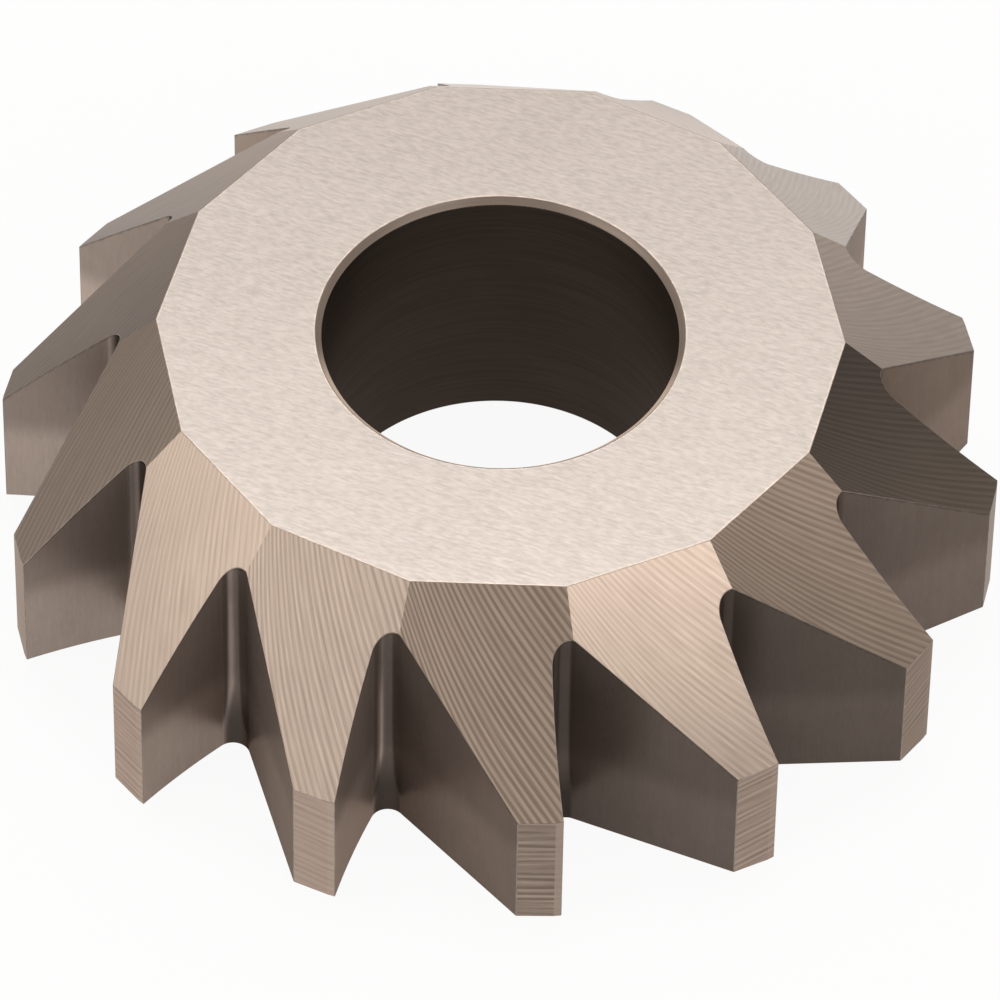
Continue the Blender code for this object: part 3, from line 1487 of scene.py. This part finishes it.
@dataclass(frozen=True)
class WallFinish(ScratchedFinish):
    """The gullet walls: fine upright grain, a polished root, and a painted shadow line under the
    facet, with painted shade in the root, a painted highlight along it and a painted reflection low
    down.

    Attributes:
        tooth_step: How far apart two gullets read their grain, for each unit of mark depth.
        broad_sheen: How much the broader scratches show in the gloss.
        shadow_line: Width of the painted shadow line, in millimetres.
        shadow_depth: How dark it is.
        back_span: Lean of the wall where the root's polish and painted shade begin, from the tooth
            back.
        rake_span: Lean of the wall where the polish and painted shade end, toward the rake face.
        gleam_lean: Lean of the wall at the painted highlight along the root.
        gleam_width: Half width of that line, as lean.
        gleam_bend: How far the line's foot bends toward the rake face, as lean.
        gleam_fade: Heights between which the line fades to its foot, in millimetres.
        gleam_top: Heights between which the line is held to its weakest, in millimetres.
        gleam_most: The line's greatest strength below and above those heights.
        foot: Heights between which the painted shade in the root deepens to its foot, in
            millimetres.
        root_dim: How much darker the root is than the walls, as painted shade.
        foot_dim: How much darker still its foot is, as painted shade.
        low_band: Heights between which the wall darkens from its lower part, painted bright as a
            reflection of the floor.
        low_tone: Brightness of that part.
        high_tone: Brightness above it.
        rake_low: What the rake face gains in that part.
        rake_high: What it loses above it.
    """

    fine: Pair = (0.5, 0.06)
    broad: Pair = (3.0, 0.25)
    fine_share: float = 0.6
    tooth_step: float = 41.0
    broad_sheen: float = 0.1
    shadow_line: float = 0.15
    shadow_depth: float = 0.4
    back_span: Pair = (math.radians(-48.0), math.radians(-20.0))
    rake_span: Pair = (math.radians(60.0), math.radians(84.0))
    gleam_lean: float = math.radians(45.0)
    gleam_width: float = math.radians(10.0)
    gleam_bend: float = math.radians(22.0)
    gleam_fade: Pair = (0.5, 3.8)
    gleam_top: Pair = (5.5, 9.5)
    gleam_most: Pair = (1.5, 0.42)
    foot: Pair = (1.2, 4.0)
    root_dim: float = 0.33
    foot_dim: float = 0.33
    low_band: Pair = (3.4, 4.9)
    low_tone: float = 1.14
    high_tone: float = 0.93
    rake_low: float = 0.12
    rake_high: float = 0.05

    def draw(self, sheet: Sheet, effects: Effects) -> Pattern:
        """Draw the grain and the painted shadow line, polish the root, and paint its light and
        shade.

        Args:
            sheet: The material's sheet.
            effects: The shared effects.

        Returns:
            The pattern.
        """
        out, below, _ = sheet.parts(sheet.finish_place())
        place = sheet.millimetres()
        layer = sheet.times(sheet.written(MARK_DEPTH), self.tooth_step)
        both, broad = self.scratches(sheet, effects, sheet.vector(below, out, layer))
        # A painted shadow line just under the facet's edge.
        edge = effects.wear.use(sheet, Distance=below, Place=place, Width=self.shadow_line)["Mask"]
        lined = sheet.times_plus(edge, -self.shadow_depth, 1.0)

        lean = sheet.written(WALL_LEAN)
        height = sheet.parts(place)[2]
        # The root's polish makes it glossier, and the same mask lays painted shade on it, deepest
        # at its foot.
        root_polish_and_shade = sheet.times(
            sheet.ramp(lean, *self.back_span), sheet.ramp(lean, *self.rake_span, 1.0, 0.0)
        )
        foot = sheet.ramp(height, *self.foot, 1.0, 0.0)
        dim = sheet.times_plus(foot, -self.foot_dim, -self.root_dim)
        dimmed = sheet.times(sheet.written(FACE_TONE), sheet.times_plus(root_polish_and_shade, dim, 1.0))
        # Add the painted highlight along the root.
        tone = sheet.math("ADD", dimmed, self._gleam(sheet, lean, height, foot))
        # Painted reflection of the floor, bright on the lower walls.
        band = self._band(sheet, lean, height)
        shade = sheet.times(self.cloud(sheet, effects), lined, band, tone)
        return Pattern(both, shade, both, sheet.times_plus(broad, self.broad_sheen, root_polish_and_shade))

    def _gleam(self, sheet: Sheet, lean: Socket, height: Socket, foot: Socket) -> Socket:
        """Draw the painted highlight along the root.

        Args:
            sheet: The material's sheet.
            lean: The wall's turn away from facing straight out.
            height: Height over the back face, in millimetres.
            foot: 1 at the root's foot and 0 above it.

        Returns:
            The brightness that the line adds.
        """
        bent = sheet.times_plus(foot, -self.gleam_bend, lean)
        off = sheet.math("DIVIDE", sheet.math("SUBTRACT", bent, self.gleam_lean), self.gleam_width)
        line = sheet.math("EXPONENT", sheet.times(off, off, -1.0))
        most = sheet.ramp(height, *self.gleam_top, *self.gleam_most)
        bright = sheet.math("MINIMUM", sheet.written(ROOT_GLEAM), most)
        return sheet.times(bright, line, sheet.ramp(height, *self.gleam_fade))

    def _band(self, sheet: Sheet, lean: Socket, height: Socket) -> Socket:
        """Draw the painted reflection on the wall's lower part, brighter still on the rake face.

        Args:
            sheet: The material's sheet.
            lean: The wall's turn away from facing straight out.
            height: Height over the back face, in millimetres.

        Returns:
            The brightness, about 1.
        """
        on_rake = sheet.ramp(lean, *self.rake_span)
        gain = sheet.ramp(height, *self.low_band, self.rake_low, -self.rake_high)
        wall = sheet.ramp(height, *self.low_band, self.low_tone, self.high_tone)
        return sheet.times_plus(on_rake, gain, wall)


@dataclass(frozen=True)
class BoreFinish(SteelFinish):
    """The bore or a rim: fine rings round the axis.

    Attributes:
        ring_width: Width of a ring, in millimetres.
        ring_rate: How fast the rings change round the axis, for each millimetre.
        ring_span: The stretch of the noise that goes from dark to light.
    """

    ring_width: float = 0.15
    ring_rate: float = 0.15
    ring_span: Pair = (0.25, 0.75)

    def draw(self, sheet: Sheet, effects: Effects) -> Pattern:
        """Draw noise that is long round the axis and narrow along it.

        Args:
            sheet: The material's sheet.
            effects: The shared effects.

        Returns:
            The pattern.
        """
        x, y, z = sheet.parts(sheet.millimetres())
        level = sheet.math("DIVIDE", z, self.ring_width)
        spot = sheet.stretched(x, y, (self.ring_rate, self.ring_rate), level)
        rings = sheet.ramp(sheet.noise(spot, detail=3.0, roughness=0.6), *self.ring_span)
        return Pattern(rings, self.toned(sheet, effects), rings, rings)


@dataclass(frozen=True)
class EdgeFinish(SteelFinish):
    """The broken edges: painted a little brighter than the surfaces they join, and darker where
    they lie in shade.

    Attributes:
        chip_rate: How fast the wear changes, for each millimetre.
        chip_span: The stretch of the noise that goes from dark to light.
    """

    cloud_size: float = 2.0
    chip_rate: float = 2.2
    chip_span: Pair = (0.3, 0.7)

    def draw(self, sheet: Sheet, effects: Effects) -> Pattern:
        """Draw small uneven chips along the edge, over its painted light and shade.

        Args:
            sheet: The material's sheet.
            effects: The shared effects.

        Returns:
            The pattern.
        """
        wear = sheet.noise(sheet.millimetres(), self.chip_rate, detail=3.0, roughness=0.6)
        chips = sheet.ramp(wear, *self.chip_span)
        return Pattern(chips, self.toned(sheet, effects), chips, chips)


FINISHES: dict[Surface, SteelFinish] = {
    Surface.FRONT: FrontFinish(
        "ground_front_face", (0.546, 0.481, 0.438), (0.407, 0.360, 0.325), 0.30,
        spread=0.012, mark_depth=0.000001,
    ),
    Surface.FACET: FacetFinish(
        "ground_facet", (0.568, 0.457, 0.378), (0.345, 0.266, 0.214), 0.38,
        spread=0.02, mark_depth=0.000006,
    ),
    Surface.LAND: LandFinish(
        "ground_tip_land", (0.46, 0.36, 0.295), (0.22, 0.165, 0.132), 0.40,
        spread=0.03, mark_depth=0.000006, edge_tint=(0.88, 0.80, 0.74),
    ),
    # Darker than the facets: partly the milled finish, partly painted shade of the deep gullets.
    Surface.WALL: WallFinish(
        "milled_gullet", (0.293, 0.237, 0.206), (0.257, 0.206, 0.176), 0.26,
        spread=0.05, mark_depth=0.0000008, metallic=0.5, specular=0.0,
        edge_tint=(0.38, 0.32, 0.28),
    ),
    # Far darker than the ground steel: the bore's colours are painted shade inside the hole.
    Surface.BORE: BoreFinish(
        "honed_bore", (0.053, 0.040, 0.032), (0.044, 0.033, 0.026), 0.5,
        spread=0.02, mark_depth=0.0000003, metallic=0.6, specular=0.25,
        edge_tint=(0.5, 0.4, 0.33),
    ),
    Surface.CHAMFER: BoreFinish(
        "turned_rim", (0.303, 0.240, 0.196), (0.252, 0.198, 0.162), 0.36,
        spread=0.03, mark_depth=0.0000008, metallic=0.25, specular=0.2,
    ),
    Surface.BACK: FaceFinish(
        "ground_back_face", (0.49, 0.43, 0.385), (0.41, 0.36, 0.322), 0.34,
        spread=0.03, mark_depth=0.000001, lie=math.radians(20.0),
    ),
    # The edges' colours are darkened as painted shade; their written tone adds painted light and
    # shade by how each edge lies.
    Surface.EDGE: EdgeFinish(
        "broken_edge", (0.36, 0.295, 0.25), (0.26, 0.21, 0.175), 0.34, mark_depth=0.0000008
    ),
}


# Studio


@dataclass(frozen=True)
class SoftBox:
    """A soft rectangular lamp that faces the part.

    Attributes:
        name: The lamp's name.
        azimuth: Where it hangs, from +X counterclockwise.
        elevation: How high it hangs.
        width: Its width.
        height: Its height.
        level: Brightness of its face, where 1 shows a white surface as white.
        distance: From the part.
    """

    name: str
    azimuth: float
    elevation: float
    width: float
    height: float
    level: float
    distance: float = 0.9

    def hang(self, target: Vector) -> None:
        """Hang the lamp so that it faces a point.

        Args:
            target: The point.
        """
        way = Vector(
            (
                math.cos(self.elevation) * math.cos(self.azimuth),
                math.cos(self.elevation) * math.sin(self.azimuth),
                math.sin(self.elevation),
            )
        )
        data = bpy.data.lights.new(self.name, "AREA")
        data.shape = "RECTANGLE"
        data.size = self.width
        data.size_y = self.height
        data.energy = self.level * math.pi * self.width * self.height
        lamp = scene_object(self.name, data)
        lamp.location = target + way * self.distance
        lamp.rotation_euler = way.to_track_quat("Z", "Y").to_euler()


@dataclass(frozen=True)
class Viewpoint:
    """The camera's place and its lens.

    Attributes:
        location: Where it stands.
        turn_degrees: Its turn about X, Y and Z, in degrees.
        lens: Focal length, in millimetres.
        sensor: Width of what the lens draws on, in millimetres.
        nearest: The nearest that it sees.
        farthest: The farthest.
    """

    location: tuple[float, float, float] = (0.005908, -0.259808, 0.294393)
    turn_degrees: tuple[float, float, float] = (41.6411, -0.6697, 2.0330)
    lens: float = 340.104
    sensor: float = 36.0
    nearest: float = 0.01
    farthest: float = 20.0

    def place(self) -> None:
        """Make the camera and look through it."""
        data = bpy.data.cameras.new("viewpoint")
        data.lens = self.lens
        data.sensor_width = self.sensor
        data.sensor_fit = "HORIZONTAL"
        data.clip_start = self.nearest
        data.clip_end = self.farthest
        camera = scene_object("viewpoint", data)
        camera.location = self.location
        camera.rotation_euler = Euler([math.radians(angle) for angle in self.turn_degrees])
        bpy.context.scene.camera = camera


@dataclass(frozen=True)
class Studio:
    """A pale floor, soft lamps and the room's own dim light.

    Attributes:
        floor_height: Height of the part's underside.
        centre: The point that the lamps face.
        floor_size: Side of the floor.
        floor_gap: From the part's underside down to the floor.
        floor_colour: The floor's own colour.
        floor_roughness: The floor's roughness.
        white_share: Share of plain white in what is seen of the floor, directly or mirrored.
        room: Colour of the room's light.
        lamps: The soft lamps.
    """

    floor_height: float
    centre: Vector
    floor_size: float = 6.0
    floor_gap: float = 0.00001
    floor_colour: Colour = (0.90, 0.90, 0.895)
    floor_roughness: float = 0.9
    white_share: float = 0.93
    room: Colour = (0.43, 0.405, 0.375)
    lamps: tuple[SoftBox, ...] = (
        SoftBox("top_panel", math.radians(90), math.radians(66), 0.9, 0.6, 2.2),
        SoftBox("left_panel", math.radians(-157), math.radians(33), 0.75, 0.5, 1.6),
        SoftBox("right_panel", math.radians(-42), math.radians(40), 0.5, 0.4, 1.9),
    )

    def build(self) -> None:
        """Lay the floor, hang the lamps, set the room's light and the picture's colours."""
        self._floor()
        for lamp in self.lamps:
            lamp.hang(self.centre)
            LOG.info("%s hung", lamp.name)
        self._room()
        bpy.context.scene.view_settings.view_transform = "Standard"

    def _floor(self) -> None:
        """Lay a floor that shows white, with the part's shadow on it, and is clear from below."""
        half = self.floor_size / 2
        level = self.floor_height - self.floor_gap
        mesh = bpy.data.meshes.new("floor")
        corners = [(-half, -half), (half, -half), (half, half), (-half, half)]
        mesh.from_pydata([(x, y, level) for x, y in corners], [], [(0, 1, 2, 3)])
        floor = scene_object("floor", mesh)

        material, sheet, matt = new_material("pale_floor")
        values = {
            "Base Color": (*self.floor_colour, 1.0),
            "Roughness": self.floor_roughness,
            "Specular IOR Level": 0.0,
        }
        sheet.feed_named(matt.inputs, values)
        white = sheet.add("ShaderNodeEmission")
        white.inputs["Strength"].default_value = 1.0
        rays = sheet.add("ShaderNodeLightPath").outputs
        seen = sheet.math("MAXIMUM", rays["Is Camera Ray"], rays["Is Glossy Ray"])
        seen = sheet.math("MAXIMUM", seen, rays["Is Transmission Ray"])
        share = sheet.times(seen, self.white_share)
        above = sheet.worked("ShaderNodeMixShader", (share, matt.outputs[0], white.outputs[0]))
        below = sheet.add("ShaderNodeBsdfTransparent").outputs[0]
        from_below = sheet.add("ShaderNodeNewGeometry").outputs["Backfacing"]
        sides = sheet.worked("ShaderNodeMixShader", (from_below, above, below))
        out = material.node_tree.nodes["Material Output"]
        sheet.feed(out.inputs["Surface"], sides)
        mesh.materials.append(material)
        floor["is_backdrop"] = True

    def _room(self) -> None:
        """Fill the room with dim light."""
        world = bpy.data.worlds.new("room")
        bpy.context.scene.world = world
        world.use_nodes = True
        background = world.node_tree.nodes["Background"]
        background.inputs["Color"].default_value = (*self.room, 1.0)
        background.inputs["Strength"].default_value = 1.0


# Helpers


def polar(radius: float, angle: float) -> Vector:
    """A point in plan from its distance and angle."""
    return Vector((radius * math.cos(angle), radius * math.sin(angle)))


def smooth(value: float, start: float, end: float) -> float:
    """Read a smooth climb from 0 at the start to 1 at the end."""
    share = min(max((value - start) / (end - start), 0.0), 1.0)
    return share * share * (3 - 2 * share)


def arc(centre: Vector, start: Vector, end: Vector, steps: int) -> list[Vector]:
    """Divide the shorter arc between two points.

    Args:
        centre: The arc's centre.
        start: The first point.
        end: The last point.
        steps: How many chords the arc gets.

    Returns:
        The points, both ends included.
    """
    first = start - centre
    turn = math.atan2(first.cross(end - centre), first.dot(end - centre))
    return [centre + Matrix.Rotation(turn * i / steps, 2) @ first for i in range(steps + 1)]


def scene_object(name: str, data: bpy.types.ID) -> bpy.types.Object:
    """Make an object and put it in the scene.

    Args:
        name: The object's name.
        data: Its mesh, lamp or camera.

    Returns:
        The object.
    """
    made = bpy.data.objects.new(name, data)
    bpy.context.scene.collection.objects.link(made)
    return made


def meshed_object(name: str, work: bmesh.types.BMesh) -> bpy.types.Object:
    """Turn a working mesh into an object.

    Args:
        name: The object's name.
        work: The working mesh, which is freed.

    Returns:
        The object.
    """
    mesh = bpy.data.meshes.new(name)
    work.to_mesh(mesh)
    work.free()
    return scene_object(name, mesh)


def evaluated_mesh(obj: bpy.types.Object, name: str) -> bpy.types.Mesh:
    """Copy an object's mesh with its modifiers applied.

    Args:
        obj: The object.
        name: The new mesh's name.

    Returns:
        The new mesh.
    """
    bpy.context.view_layer.update()
    graph = bpy.context.evaluated_depsgraph_get()
    mesh = bpy.data.meshes.new_from_object(obj.evaluated_get(graph))
    mesh.name = name
    return mesh


def new_material(name: str) -> tuple[bpy.types.Material, Sheet, bpy.types.Node]:
    """Make a material.

    Args:
        name: The material's name.

    Returns:
        The material, its sheet and its Principled shader.
    """
    material = bpy.data.materials.new(name)
    material.use_nodes = True
    sheet = Sheet(material.node_tree)
    return material, sheet, material.node_tree.nodes["Principled BSDF"]


def main() -> None:
    """Build the cutter and its studio."""
    logging.basicConfig(level=logging.INFO, format="%(name)s: %(message)s")
    solid_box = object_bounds()

    ring = CutterRing.from_solid(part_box(NODE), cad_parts[NODE])
    piece = ring.build()
    effects = Effects.make()
    ring.dress({surface: finish.material(effects) for surface, finish in FINISHES.items()})
    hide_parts(NODE)
    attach(piece, "root")
    LOG.info("%s: %d faces, %d finishes", piece.name, len(piece.data.polygons), len(FINISHES))

    low, high = solid_box
    Studio(floor_height=low.z, centre=(low + high) / 2).build()
    Viewpoint().place()
    LOG.info("viewpoint placed")


if __name__ == "__main__":
    main()
